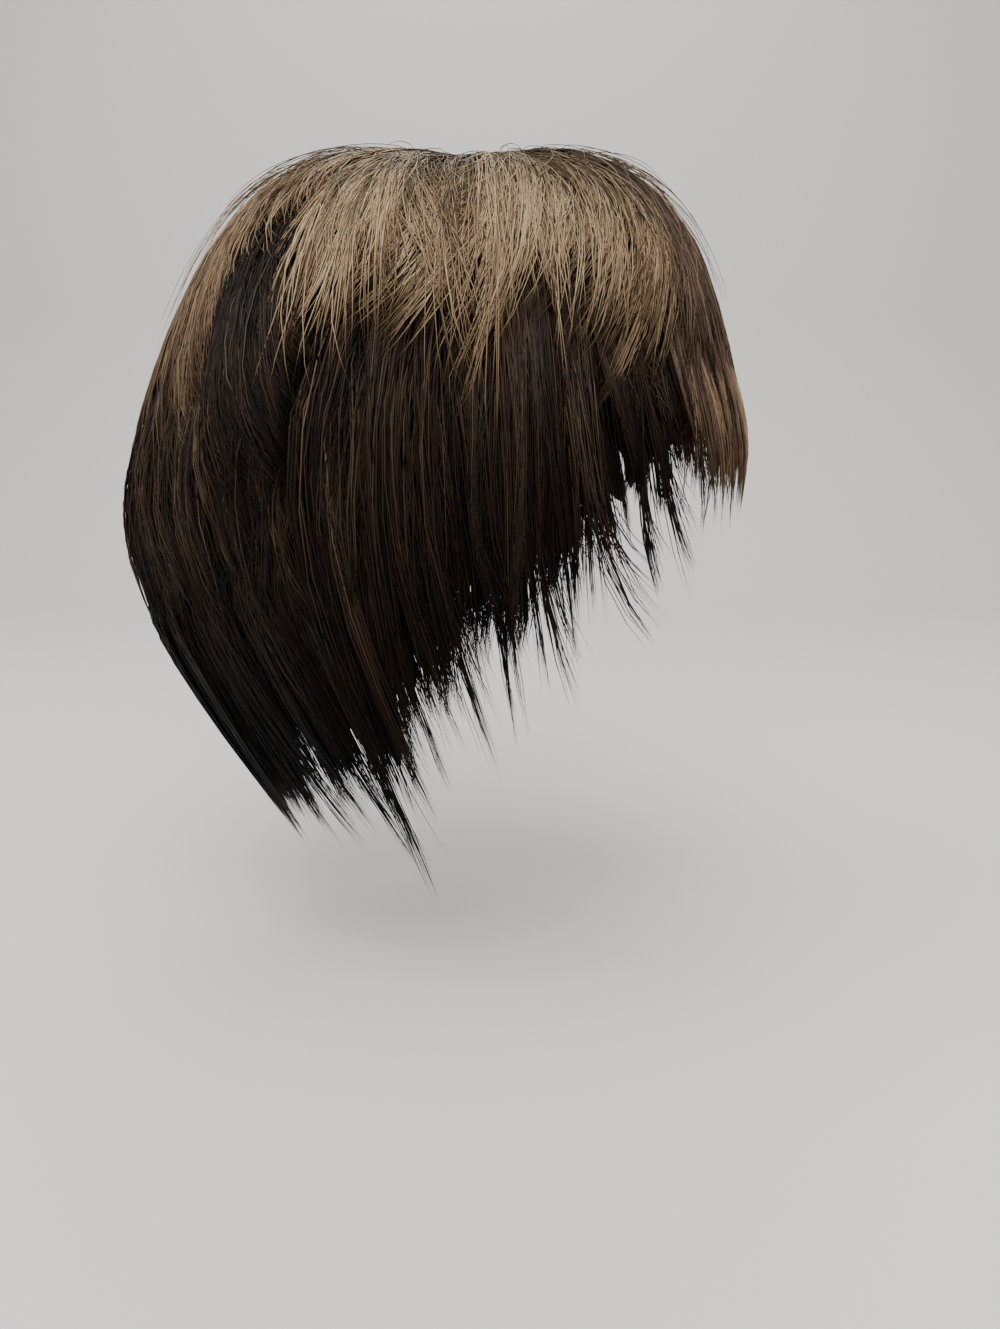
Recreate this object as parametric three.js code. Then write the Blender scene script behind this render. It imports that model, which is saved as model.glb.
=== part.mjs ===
// Short layered wig with a full crown, a ragged fringe and a long tapered nape.
//
// Millimetres, +Z up, the face looks along +X and the wearer's right side is -Y.
// The origin is the inside of the cap's top, where the crown of the head bears.
//
// A thin cap carries six layers of hair, lapped like roof tiles: the layers that are sewn on
// lower down lie under the ones that are sewn on above them. Every layer is one wall of pointed
// locks, held together at its root.
import * as THREE from "three";
import { mergeVertices } from "three/addons/utils/BufferGeometryUtils.js";

// Driving dimensions: the cap's wall, the hair's clearance over the cap and between layers, the
// thickness of a lock's tip, and the power of the head's super-elliptic level sections.
const CAP_WALL = 1.6;
const CAP_GAP = 1;
const LAP_GAP = 2;
const LOCK_TIP = 1.4;
const HEAD_POWER = 2.2;

// The lines that the cap and the hair lie on, down the front, the side and the back. Each row
// is one station, from 0 at the crown to the last one below the tips. The line follows the
// skull as far as station 5, and hangs clear of the face, ears and neck below it. reach is the
// distance from the upright axis through the crown, height is over the origin, and depth is
// how far the hair stands out from the line.
const FRONT_LINE = [
  { reach: 0, height: 0, depth: 4 },
  { reach: 30, height: -2.5, depth: 8 },
  { reach: 54, height: -13, depth: 8.5 },
  { reach: 70, height: -30, depth: 8.5 },
  { reach: 79, height: -51, depth: 8.5 },
  { reach: 84.5, height: -73, depth: 9.5 },
  { reach: 88, height: -94, depth: 11 },
  { reach: 89.5, height: -114, depth: 8.5 },
  { reach: 88, height: -136, depth: 7 },
  { reach: 84, height: -159, depth: 6 },
  { reach: 79, height: -182, depth: 6 },
  { reach: 73, height: -205, depth: 6 },
  { reach: 66, height: -228, depth: 6 },
];
const SIDE_LINE = [
  { reach: 0, height: 0, depth: 4 },
  { reach: 24, height: -6, depth: 5.5 },
  { reach: 45, height: -17, depth: 9.5 },
  { reach: 61, height: -35, depth: 14 },
  { reach: 71, height: -57, depth: 18 },
  { reach: 75, height: -82, depth: 20 },
  { reach: 77, height: -108, depth: 19 },
  { reach: 76, height: -132, depth: 17 },
  { reach: 73, height: -156, depth: 14 },
  { reach: 69, height: -180, depth: 11 },
  { reach: 64, height: -204, depth: 8.5 },
  { reach: 59, height: -227, depth: 7 },
  { reach: 56, height: -249, depth: 6 },
];
const BACK_LINE = [
  { reach: 0, height: 0, depth: 4 },
  { reach: 34, height: -3.5, depth: 8.5 },
  { reach: 61, height: -15, depth: 10.5 },
  { reach: 80, height: -36, depth: 11.5 },
  { reach: 91, height: -64, depth: 16 },
  { reach: 96, height: -95, depth: 23.5 },
  { reach: 96.5, height: -125, depth: 28.5 },
  { reach: 93, height: -152, depth: 26 },
  { reach: 86, height: -176, depth: 21 },
  { reach: 77, height: -200, depth: 16 },
  { reach: 68, height: -222, depth: 11 },
  { reach: 59, height: -243, depth: 7.5 },
  { reach: 52, height: -263, depth: 6 },
];

// Where the cap's edge runs: the hairline, the ear tab, the notch over the ear and the nape.
// degrees is measured from the face round to either side.
const CAP_EDGE = [
  { degrees: 0, station: 3.6 },
  { degrees: 45, station: 4.4 },
  { degrees: 66, station: 6.0 },
  { degrees: 76, station: 6.0 },
  { degrees: 93, station: 5.4 },
  { degrees: 114, station: 6.3 },
  { degrees: 140, station: 6.9 },
  { degrees: 180, station: 7.1 },
];

// Where each layer's locks end. tip is the station of the points, and notch that of the gaps
// between them.
const CROWN_ENDS = [
  { degrees: 0, tip: 5.5, notch: 4.4 },
  { degrees: 35, tip: 5.3, notch: 4.2 },
  { degrees: 60, tip: 4.6, notch: 3.7 },
  { degrees: 100, tip: 4.8, notch: 3.9 },
  { degrees: 135, tip: 4.7, notch: 3.9 },
  { degrees: 180, tip: 5.3, notch: 4.3 },
];
const FRINGE_ENDS = [
  { degrees: 0, tip: 7.2, notch: 6.4 },
  { degrees: 25, tip: 7.3, notch: 6.3 },
  { degrees: 47, tip: 7.6, notch: 5.7 },
];
const SIDE_ENDS = [
  { degrees: 48, tip: 8.4, notch: 5.7 },
  { degrees: 60, tip: 7.6, notch: 6.3 },
  { degrees: 72, tip: 8.2, notch: 7.2 },
  { degrees: 85, tip: 9.2, notch: 8.1 },
  { degrees: 107, tip: 9.6, notch: 8.2 },
];
const BACK_ENDS = [
  { degrees: 107, tip: 7.1, notch: 6.3 },
  { degrees: 140, tip: 7.2, notch: 6.4 },
  { degrees: 180, tip: 7.2, notch: 6.4 },
];
const NAPE_ENDS = [
  { degrees: 107, tip: 12.0, notch: 9.4 },
  { degrees: 122, tip: 11.4, notch: 10.0 },
  { degrees: 140, tip: 11.1, notch: 10.2 },
  { degrees: 180, tip: 11.2, notch: 10.4 },
];

// The laps, where an upper layer lies on a lower one. The upper layer's inside leaves the cap at
// station start, is at share low of the depth at station seated, and rises to share high at
// station end, where the upper layer thins out. Below that the lower layer takes the full depth.
const CROWN_LAP = { start: 1.4, seated: 2.4, end: 5.5, low: 0.54, high: 0.86 };
const NAPE_LAP = { start: 5.3, seated: 6, end: 7.2, low: 0.5, high: 0.86 };
const LAP_SPREAD = 0.6;

// The layers. from and to are degrees from the face, towards the wearer's left. root is the
// station where the layer is sewn on. liesOn is the lap that it covers, and under is the lap
// that covers it.
const LAYERS = [
  { node: "crown_layer", from: -180, to: 180, root: 0, ends: CROWN_ENDS, liesOn: CROWN_LAP,
    locks: 34, rows: 10, seed: 1 },
  { node: "fringe", from: -47.3, to: 47.3, root: 2.8, ends: FRINGE_ENDS, under: CROWN_LAP,
    locks: 13, rows: 9, seed: 2 },
  { node: "side_layer_right", from: -107, to: -47.8, root: 2.8, ends: SIDE_ENDS, under: CROWN_LAP,
    locks: 11, rows: 11, seed: 3 },
  { node: "side_layer_left", from: 47.8, to: 107, root: 2.8, ends: SIDE_ENDS, under: CROWN_LAP,
    locks: 11, rows: 11, seed: 4 },
  { node: "back_layer", from: 107.5, to: 252.5, root: 2.8, ends: BACK_ENDS, liesOn: NAPE_LAP,
    under: CROWN_LAP, locks: 19, rows: 10, seed: 5 },
  { node: "nape_layer", from: 107.5, to: 252.5, root: 6.3, ends: NAPE_ENDS, under: NAPE_LAP,
    locks: 19, rows: 10, seed: 6 },
];

// The scatter of the locks: of their ends, in stations, and of their middles, in half spacings.
const RAGGED = 0.4;
const LOCK_SHIFT = 0.3;
// The dip between two locks, as a share of the layer, and how late a lock thins to its tip.
const DIP_SHARE = 0.3;
const TAPER_POWER = 6;
// The facets of the cap, around and down.
const CAP_COLUMNS = 60;
const CAP_ROWS = 9;
const LAST_STATION = BACK_LINE.length - 1;

const COLOURS = { cap: 0x1d1815, light: 0x9a8160, dark: 0x2e241d, fringe: 0x6b5541 };

// A meridian of the form: its line and its depth as curves over the stations.
function meridian(table) {
  return {
    line: new THREE.SplineCurve(table.map(({ reach, height }) => new THREE.Vector2(reach, height))),
    depth: new THREE.SplineCurve(table.map(({ depth }, station) => new THREE.Vector2(station, depth))),
  };
}
const FRONT = meridian(FRONT_LINE);
const SIDE = meridian(SIDE_LINE);
const BACK = meridian(BACK_LINE);

// The point of a meridian at a station, moved outwards by an offset that may depend on the
// depth of the hair there.
function meridianPoint({ line, depth }, station, offsetOf) {
  const share = THREE.MathUtils.clamp(station / LAST_STATION, 0, 1);
  const point = line.getPoint(share);
  const along = line.getTangent(share);
  const offset = offsetOf(depth.getPoint(share).y);
  const onAxis = station === 0;
  const reach = onAxis ? 0 : point.x - along.y * offset;
  const height = point.y + (onAxis ? 1 : along.x) * offset;
  return { reach, height };
}

// The point of the form at an azimuth: the front or back meridian blended into the side one,
// with super-elliptic level sections.
function formPoint(azimuth, station, offsetOf) {
  const ahead = Math.cos(azimuth);
  const aside = Math.sin(azimuth);
  const end = meridianPoint(ahead >= 0 ? FRONT : BACK, station, offsetOf);
  const flank = meridianPoint(SIDE, station, offsetOf);
  const rounded = (value) => Math.sign(value) * Math.abs(value) ** (2 / HEAD_POWER);
  return new THREE.Vector3(
    end.reach * rounded(ahead),
    flank.reach * rounded(aside),
    end.height * ahead ** 2 + flank.height * aside ** 2,
  );
}

// A column of a table at an angle from the face, eased between its rows.
function readTable(table, degrees, column) {
  const angle = Math.abs(THREE.MathUtils.euclideanModulo(degrees + 180, 360) - 180);
  const above = table.findIndex((row) => row.degrees >= angle);
  const next = above < 0 ? table.length - 1 : Math.max(1, above);
  const [low, high] = [table[next - 1], table[next]];
  const share = THREE.MathUtils.smoothstep(angle, low.degrees, high.degrees);
  return THREE.MathUtils.lerp(low[column], high[column], share);
}

// A repeatable number from 0 to 1 for a lock of a layer.
function scatter(seed, lock) {
  const value = Math.sin(seed * 91.7 + lock * 47.3) * 1931.7;
  return value - Math.floor(value);
}

// A closed wall through columns, each with an outer and an inner line of points from root to
// tip. A wall that goes all the way round joins its last column to its first, and any other
// has flat ends. Points that coincide, as at the crown, are merged.
function wallGeometry(columns, goesRound) {
  const rows = columns[0].outer.length;
  const points = columns.flatMap(({ outer, inner }) => [...outer, ...inner]);
  const outer = (column, row) => (column % columns.length) * 2 * rows + row;
  const inner = (column, row) => outer(column, row) + rows;
  const faces = [];
  const quad = (a, b, c, d) => faces.push([a, b, c], [a, c, d]);
  const spans = goesRound ? columns.length : columns.length - 1;
  const tip = rows - 1;
  for (let column = 0; column < spans; column++) {
    const next = column + 1;
    for (let row = 0; row < tip; row++) {
      quad(outer(column, row), outer(column, row + 1), outer(next, row + 1), outer(next, row));
      quad(inner(column, row), inner(next, row), inner(next, row + 1), inner(column, row + 1));
    }
    quad(outer(column, 0), outer(next, 0), inner(next, 0), inner(column, 0));
    quad(outer(column, tip), inner(column, tip), inner(next, tip), outer(next, tip));
  }
  if (!goesRound) {
    const last = columns.length - 1;
    for (let row = 0; row < tip; row++) {
      quad(outer(0, row), inner(0, row), inner(0, row + 1), outer(0, row + 1));
      quad(outer(last, row), outer(last, row + 1), inner(last, row + 1), inner(last, row));
    }
  }
  const loose = new THREE.BufferGeometry().setFromPoints(points).setIndex(faces.flat());
  const merged = mergeVertices(loose);
  const index = Array.from(merged.index.array);
  const corners = (start) => index.slice(start, start + 3);
  const starts = index.map((_, at) => at).filter((at) => at % 3 === 0);
  const whole = starts.map(corners).filter((face) => new Set(face).size === 3);
  merged.setIndex(whole.flat());
  merged.computeVertexNormals();
  return merged;
}

// The cap: a thin wall over the skull, from the crown to its shaped edge.
function capGeometry() {
  const columns = Array.from({ length: CAP_COLUMNS }, (_, column) => {
    const degrees = (column / CAP_COLUMNS) * 360;
    const edge = readTable(CAP_EDGE, degrees, "station");
    const azimuth = THREE.MathUtils.degToRad(degrees);
    const stations = Array.from({ length: CAP_ROWS + 1 }, (_, row) => (row / CAP_ROWS) * edge);
    return {
      outer: stations.map((station) => formPoint(azimuth, station, () => CAP_WALL)),
      inner: stations.map((station) => formPoint(azimuth, station, () => 0)),
    };
  });
  return wallGeometry(columns, true);
}

// How high the face of a lap is at a station, as a share of the depth.
function lapShare(lap, station) {
  if (!lap) return 0;
  const leave = THREE.MathUtils.smoothstep(station, lap.start, lap.seated);
  const rise = THREE.MathUtils.smoothstep(station, lap.seated, lap.end);
  return leave * THREE.MathUtils.lerp(lap.low, lap.high, rise);
}

// The inside and outside of a layer at a station, as offsets from the line under the cap.
// fullness is 1 on the middle of a lock and 0 between two locks, where the layer dips, but not
// on the crown itself. share runs from 0 at the root to 1 at the tip, where the lock thins out.
function layerOffsets({ liesOn, under }, station, fullness, share) {
  const seat = CAP_WALL + CAP_GAP;
  const spread = under ? THREE.MathUtils.smoothstep(station, under.end, under.end + LAP_SPREAD) : 1;
  const top = THREE.MathUtils.lerp(lapShare(under, station), 1, spread);
  const inside = (depth) => seat + lapShare(liesOn, station) * (depth - seat);
  const outside = (depth) => {
    const low = inside(depth);
    const high = seat + top * (depth - seat) - (1 - spread) * LAP_GAP;
    const dip = DIP_SHARE * (1 - fullness) * Math.min(station, 1);
    const body = Math.max(high - low, LOCK_TIP) * (1 - dip);
    return low + THREE.MathUtils.lerp(body, LOCK_TIP, share ** TAPER_POWER);
  };
  return { inside, outside };
}

// One layer: a column on the middle of each lock, down to its point, and one between each two
// locks, up to their notch.
function layerGeometry(layer) {
  const goesRound = layer.to - layer.from === 360;
  const pitch = (layer.to - layer.from) / (2 * layer.locks);
  const count = 2 * layer.locks + (goesRound ? 0 : 1);
  const columns = Array.from({ length: count }, (_, column) => {
    const onLock = column % 2 === 1;
    const shift = onLock ? (scatter(layer.seed + 0.5, column) - 0.5) * 2 * LOCK_SHIFT : 0;
    const degrees = layer.from + (column + shift) * pitch;
    const azimuth = THREE.MathUtils.degToRad(degrees);
    const ragged = (scatter(layer.seed, column) - 1) * RAGGED;
    const end = readTable(layer.ends, degrees, onLock ? "tip" : "notch") + ragged;
    const shares = Array.from({ length: layer.rows + 1 }, (_, row) => row / layer.rows);
    const point = (share, face) => {
      const station = THREE.MathUtils.lerp(layer.root, end, share);
      const offsets = layerOffsets(layer, station, onLock ? 1 : 0, share);
      return formPoint(azimuth, station, offsets[face]);
    };
    return {
      outer: shares.map((share) => point(share, "outside")),
      inner: shares.map((share) => point(share, "inside")),
    };
  });
  return wallGeometry(columns, goesRound);
}

function fibre(colour) {
  return new THREE.MeshStandardMaterial({ color: colour, roughness: 0.5, metalness: 0 });
}

function pieceMesh(name, geometry, material) {
  const mesh = new THREE.Mesh(geometry, material);
  mesh.name = name;
  return mesh;
}

const LAYER_FIBRES = {
  crown_layer: fibre(COLOURS.light),
  fringe: fibre(COLOURS.fringe),
  side_layer_right: fibre(COLOURS.dark),
  side_layer_left: fibre(COLOURS.dark),
  back_layer: fibre(COLOURS.fringe),
  nape_layer: fibre(COLOURS.dark),
};
const capNet = new THREE.MeshStandardMaterial({ color: COLOURS.cap, roughness: 0.9, metalness: 0 });

const wig = new THREE.Group();
wig.add(pieceMesh("cap", capGeometry(), capNet));
for (const layer of LAYERS) {
  wig.add(pieceMesh(layer.node, layerGeometry(layer), LAYER_FIBRES[layer.node]));
}

export default wig;
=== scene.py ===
"""A short layered synthetic wig: a net cap under six layers of loose fibres, on a plain stage."""

import math
from typing import NamedTuple

import bpy
import numpy as np
from bpy.props import FloatProperty, FloatVectorProperty, PointerProperty
from bpy.types import Operator, Panel, PropertyGroup
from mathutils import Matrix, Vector


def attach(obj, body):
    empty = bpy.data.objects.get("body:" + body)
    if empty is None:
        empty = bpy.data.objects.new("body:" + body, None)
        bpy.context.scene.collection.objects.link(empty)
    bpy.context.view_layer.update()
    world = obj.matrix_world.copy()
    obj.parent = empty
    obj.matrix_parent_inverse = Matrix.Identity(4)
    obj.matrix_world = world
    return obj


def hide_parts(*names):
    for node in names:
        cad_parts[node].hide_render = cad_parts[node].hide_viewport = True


bl_info = {
    "name": "Layered synthetic wig",
    "version": (1, 0, 0),
    "blender": (4, 5, 0),
    "location": "3D View > Sidebar > Wig",
    "description": "Builds a short layered synthetic wig and its stage",
    "category": "Object",
}

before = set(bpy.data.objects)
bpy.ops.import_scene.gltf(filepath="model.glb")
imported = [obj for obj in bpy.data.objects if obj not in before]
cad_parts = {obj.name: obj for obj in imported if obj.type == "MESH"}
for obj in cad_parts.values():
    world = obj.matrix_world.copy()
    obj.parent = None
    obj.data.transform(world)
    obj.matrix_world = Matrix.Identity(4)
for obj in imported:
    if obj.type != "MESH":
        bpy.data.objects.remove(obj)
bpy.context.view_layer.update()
UV_NAME = "OFBake"
MM = 0.001


# Form of the head, the cap and the hair, in millimetres. The face is towards +X, and azimuth 0 is
# the middle of the face, with the wearer's left side at +90 degrees.

# Lines down the front, the side and the back, with a row for each station from the crown down.
# Columns: reach from the upright axis, height, depth of the hair.
FRONT_LINE = np.array([
    (0, 0, 4), (30, -2.5, 8), (54, -13, 8.5), (70, -30, 8.5), (79, -51, 8.5), (84.5, -73, 9.5),
    (88, -94, 11), (89.5, -114, 8.5), (88, -136, 7), (84, -159, 6), (79, -182, 6), (73, -205, 6),
    (66, -228, 6),
])
SIDE_LINE = np.array([
    (0, 0, 4), (24, -6, 5.5), (45, -17, 9.5), (61, -35, 14), (71, -57, 18), (75, -82, 20),
    (77, -108, 19), (76, -132, 17), (73, -156, 14), (69, -180, 11), (64, -204, 8.5),
    (59, -227, 7), (56, -249, 6),
])
BACK_LINE = np.array([
    (0, 0, 4), (34, -3.5, 8.5), (61, -15, 10.5), (80, -36, 11.5), (91, -64, 16), (96, -95, 23.5),
    (96.5, -125, 28.5), (93, -152, 26), (86, -176, 21), (77, -200, 16), (68, -222, 11),
    (59, -243, 7.5), (52, -263, 6),
])
HEAD_POWER = 2.2
HEAD_MIDDLE = np.array((-5.0, 0.0, -100.0))
CAP_WALL = 1.6
SEAT = CAP_WALL + 1.0


class Lap(NamedTuple):
    """Where one layer lies on another: stations, and the share of the depth that is underneath."""
    start: float
    seated: float
    end: float
    low: float
    high: float


CROWN_LAP = Lap(1.4, 2.4, 5.5, 0.54, 0.86)
NAPE_LAP = Lap(5.3, 6.0, 7.2, 0.5, 0.86)

# Lower edge of the cap. Columns: degrees from the face, station.
CAP_EDGE = np.array([
    (0, 3.6), (45, 4.4), (66, 6.0), (76, 6.0), (93, 5.4), (114, 6.3), (140, 6.9), (180, 7.1),
])


class Layer(NamedTuple):
    """A layer of hair. Widths are in millimetres, and ways and tips are read in degrees.

    roots gives the first and last station of the roots, rise the share of a fibre's length that
    it takes to come out to its lane, gather how far a lock draws in to its tip, feather how
    unevenly its fibres end, uneven the scatter of its locks' ends in stations, tousle how strongly
    the locks wave and cross, mottle how much the tone varies from clump to clump, fill the share of
    a lock's length that the flat lock behind it takes, body how far a full lock stops short of its
    tip, as a share of the way to the notch, wisps the number of thin locks at each tip and of the
    fibres in each, swing the share of the stated sweep that full locks take, bow how late along
    its length a lock sweeps and its fibres part, hold how far the ends over the face keep the tone
    of their middle, lift how much of the dark root and its painted shade is left out at the back of
    the head, drawn the share of the pull to the tips that the flat locks take, and broad how wide
    they are, as a share of their stated width. The hold keeps back the ends' painted shade over the
    face, and the lift lightens the back of the crown as painted light.
    """
    node: str
    slot: str
    span: tuple
    roots: tuple
    ways: np.ndarray
    tips: int | np.ndarray
    locks: int
    fibres: int
    points: int
    width: float
    gather: float
    feather: float
    mottle: float
    seed: int
    rise: float = 0.3
    uneven: float = 0.12
    tousle: float = 1.0
    fill: float = 0.68
    body: float = 0.15
    wisps: tuple = (2, 12)
    swing: float = 1.0
    bow: float = 1.6
    hold: float = 0.0
    lift: float = 0.0
    drawn: float = 1.0
    broad: float = 1.0
    lies_on: Lap | None = None
    under: Lap | None = None


# How the locks of each layer lie. Columns: degrees from the face, station of the tips, station of
# the notches between them, sweep of the tips towards the back in degrees, tone of the fibres from
# 0, dark brown, to 1, light gold, and how closely the locks stand, 1 being full.
CROWN_WAYS = np.array([
    (0, 5.8, 4.7, 0, 0.42, 1), (18, 5.7, 4.7, 2, 0.36, 1), (32, 5.7, 4.7, 6, 0.34, 1),
    (42, 5.5, 4.6, 12, 0.42, 1), (50, 5.3, 4.5, 16, 0.64, 1), (58, 5.1, 4.4, 16, 0.92, 1),
    (64, 5.2, 4.5, 12, 0.88, 1), (70, 5.2, 4.6, 6, 0.96, 1), (78, 5.2, 4.6, 4, 0.94, 1),
    (84, 5.4, 4.6, 4, 0.86, 1), (89, 6.3, 4.8, 2, 0.9, 1), (95, 5.2, 4.4, 0, 0.8, 1),
    (102, 4.8, 4.2, 0, 0.86, 1), (110, 5.4, 4.6, -3, 0.9, 1), (117, 5.3, 4.5, -5, 0.86, 1),
    (121, 3.7, 3.2, -8, 0.76, 0.6), (126, 3.4, 3.0, -8, 0.76, 0.5), (131, 3.6, 3.1, -10, 0.76, 0.6),
    (134, 6.2, 5.4, -16, 0.52, 1), (147, 6.3, 5.5, -16, 0.6, 1), (154, 5.9, 5.0, -10, 0.76, 1),
    (165, 5.6, 4.8, 0, 0.7, 1), (180, 5.6, 4.8, 0, 0.64, 1),
])
# The pockets' fibres are near black: partly the dark layer seen where the crown's light locks part, and
# partly painted shade of that parting.
POCKET_WAYS = np.array([(118, 6.2, 5.4, -14, 0.06, 1), (127, 6.4, 5.6, -14, 0.06, 1)])
FRINGE_WAYS = np.array([
    (0, 7.2, 6.4, 0, 0.54, 1), (25, 7.2, 6.3, 0, 0.54, 1), (38, 7.1, 6.1, 0, 0.52, 0.9),
    (44, 7.3, 6.1, 0, 0.46, 0.8), (48, 7.2, 5.9, -2, 0.38, 0.6),
])
SIDE_WAYS = np.array([
    (47, 6.8, 5.9, 0, 0.3, 0.6), (50.5, 7.0, 5.9, -3, 0.27, 0.5), (53, 8.1, 5.9, -8, 0.25, 0.6),
    (56, 6.8, 5.7, -2, 0.23, 0.2), (58.5, 7.8, 5.8, -2, 0.22, 0.4), (60.5, 7.5, 5.9, -10, 0.22, 0.4),
    (62.5, 8.8, 5.9, -24, 0.21, 0.5), (65.5, 7.3, 6.0, -6, 0.2, 0.6), (67.5, 7.8, 6.1, -2, 0.19, 0.8),
    (70.5, 7.4, 6.5, -2, 0.19, 1), (73, 8.0, 6.9, -2, 0.18, 1), (78, 8.9, 7.5, -3, 0.18, 1),
    (83, 9.3, 8.0, -4, 0.17, 1), (89, 8.8, 8.3, -3, 0.17, 1), (93, 10.3, 8.6, -5, 0.17, 1),
    (96.5, 9.6, 8.8, -5, 0.17, 1), (104, 10.7, 9.2, -6, 0.16, 1), (109, 10.6, 9.4, -6, 0.15, 1),
])
BACK_WAYS = np.array([
    (107, 7.4, 6.6, 0, 0.11, 1), (122, 7.5, 6.6, -2, 0.1, 1), (127, 7.6, 6.6, -4, 0.18, 1),
    (142, 7.5, 6.6, -4, 0.2, 1), (150, 7.4, 6.6, -2, 0.16, 1), (180, 7.4, 6.6, 0, 0.18, 1),
])
NAPE_WAYS = np.array([
    (107, 12.1, 9.8, -8, 0.07, 1), (114, 11.3, 9.9, -8, 0.07, 1), (121, 11.0, 10.0, -7, 0.07, 1),
    (128, 10.9, 10.1, -6, 0.07, 1), (140, 10.8, 10.1, -4, 0.08, 1), (180, 11.1, 10.3, 0, 0.09, 1),
])

# Where the tips of the side and nape layers lie, in degrees from the face. The other layers give
# a number of tips, which stand at even places with some scatter.
SIDE_TIPS = np.array((
    48.5, 53, 58.5, 62.5, 67.5, 70.5, 73, 75.5, 78, 80.5, 83, 86, 89, 93, 96.5, 100, 104, 108,
))
NAPE_TIPS = np.array((108, 113, 120, 128, 134, 145, 152, 164, 171))

CROWN = dict(
    node="crown_layer", slot="hair_light", roots=(0.1, 2.5), ways=CROWN_WAYS, lies_on=CROWN_LAP,
    fibres=56, points=9, width=12, gather=0.3, feather=0.2, mottle=0.08,
    uneven=0.3, tousle=2.5, fill=0.55, swing=1.3, bow=2.6, hold=0.65, lift=0.45,
)
POCKET = dict(
    node="crown_layer", slot="hair_mixed", roots=(2.2, 3.6), ways=POCKET_WAYS, lies_on=CROWN_LAP,
    tips=4, locks=9, fibres=52, points=8, width=8, gather=0.4, feather=0.14, mottle=0.06,
    uneven=0.2, tousle=1.2,
)
SIDE = dict(
    slot="hair_dark", roots=(2.8, 5.2), ways=SIDE_WAYS, under=CROWN_LAP, locks=38, fibres=50,
    points=8, width=8, gather=0.8, feather=0.05, mottle=0.07, rise=0.2, uneven=0.15,
    body=0.65, wisps=(1, 30), swing=0.3, fill=0.74,
)
LAYERS = {
    "crown_fibres_front": Layer(span=(-100, 100), tips=28, locks=54, seed=21, **CROWN),
    "crown_fibres_back": Layer(span=(100, 260), tips=24, locks=46, seed=22, **CROWN),
    "pocket_fibres_right": Layer(span=(-127, -118), seed=18, **POCKET),
    "pocket_fibres_left": Layer(span=(118, 127), seed=19, **POCKET),
    "fringe_fibres": Layer(
        node="fringe", slot="hair_mixed", span=(-48, 48), roots=(2.6, 3.9), ways=FRINGE_WAYS,
        under=CROWN_LAP, tips=21, locks=42, fibres=48, points=10, width=7, gather=0.72,
        feather=0.08, mottle=0.09, rise=0.2, uneven=0.25, tousle=1.5, body=0.4, wisps=(2, 14),
        seed=13,
    ),
    "side_fibres_right": Layer(
        node="side_layer_right", span=(-112, -47), tips=-SIDE_TIPS[::-1], seed=14, **SIDE
    ),
    "side_fibres_left": Layer(
        node="side_layer_left", span=(47, 112), tips=SIDE_TIPS, seed=15, **SIDE
    ),
    "back_fibres": Layer(
        node="back_layer", slot="hair_mixed", span=(102, 258), roots=(2.8, 5.6), ways=BACK_WAYS,
        lies_on=NAPE_LAP, under=CROWN_LAP, tips=19, locks=48, fibres=58, points=8, width=12,
        gather=0.6, feather=0.08, mottle=0.09, rise=0.2, uneven=0.2, tousle=1.2, fill=0.74, drawn=0.4,
        broad=1.3, seed=16,
    ),
    "nape_fibres": Layer(
        node="nape_layer", slot="hair_dark", span=(105, 255), roots=(5.7, 6.7), ways=NAPE_WAYS,
        under=NAPE_LAP, tips=np.concatenate([NAPE_TIPS, [180], 360 - NAPE_TIPS[::-1]]), locks=46,
        fibres=52, points=8, width=11, gather=0.45, feather=0.06, mottle=0.06, rise=0.08, uneven=0.25,
        body=0.4, wisps=(1, 24), fill=0.75, drawn=0.2, broad=1.7, seed=17,
    ),
}

# How locks are placed: steps of the table that spaces them out, where each may stand within its
# place, how far past the middle between two tips a group is measured, how far towards the notch a
# lock between two tips stops and along what curve, how roots crowd to the lowest ones, how much of
# the way to its tip a lock is pulled, and its width as a share of the stated one.
SPAN_STEPS = 721
PLACE_RANGE = (0.05, 0.95)
GROUP_REACH = 1.3
NOTCH_SHARE = 0.9
NOTCH_POWER = 1.5
ROOT_POWER = 0.55
PULL_RANGE = (0.5, 1.1)
WIDTH_RANGE = (0.8, 1.2)

# Scatter of the locks at a tousle of 1: sweep and reading of the tone in degrees, curl and wave in
# millimetres.
SWEEP_SCATTER = 1.8
TONE_READING = 4
CURL_SCATTER = 0.8
WAVE_SCATTER = 1.4
WAVE_TURNS = (0.5, 1.2)

# Lanes, as shares of a layer's depth: of locks from the lowest roots to the highest, and of flat
# locks behind them. A lock is crowned, so the lane of its middle fibres is higher.
LOCK_LANES = (0.32, 0.9)
LANE_SCATTER = 0.13
LANE_RANGE = (0.05, 0.96)
CROWNING = 0.22
CROWNED_HALF = 0.6
FIBRE_LANE_SCATTER = 0.06
LEAST_LANE = 0.02
FLAT_LANE = 0.34

# Wisps: how far in degrees they stray from their tip and in stations reach past it, how far down
# the range of roots they start, their lanes, widths as shares of the layer's, drawing in, lateness
# and scatter of sweep in degrees, curl and wave in millimetres, and how much lighter they are, with
# its scatter. Most curl to the face, and some a little away from it.
WISP_STRAY = 0.7
WISP_REACH = (-0.2, 0.3)
WISP_ROOTS = 0.8
WISP_LANES = (0.6, 0.95)
WISP_WIDTHS = (0.4, 0.65)
WISP_GATHER = (0.8, 0.94)
WISP_BOW = 3.2
WISP_SWEEP = 1.0
WISP_CURL = 2.0
WISP_CURL_FORM = 2.0
WISP_WAVE = 0.8
WISP_TONE = (0.02, 0.04)
CURL_WAYS = (1, 1, 1, 1, -0.5)

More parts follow.
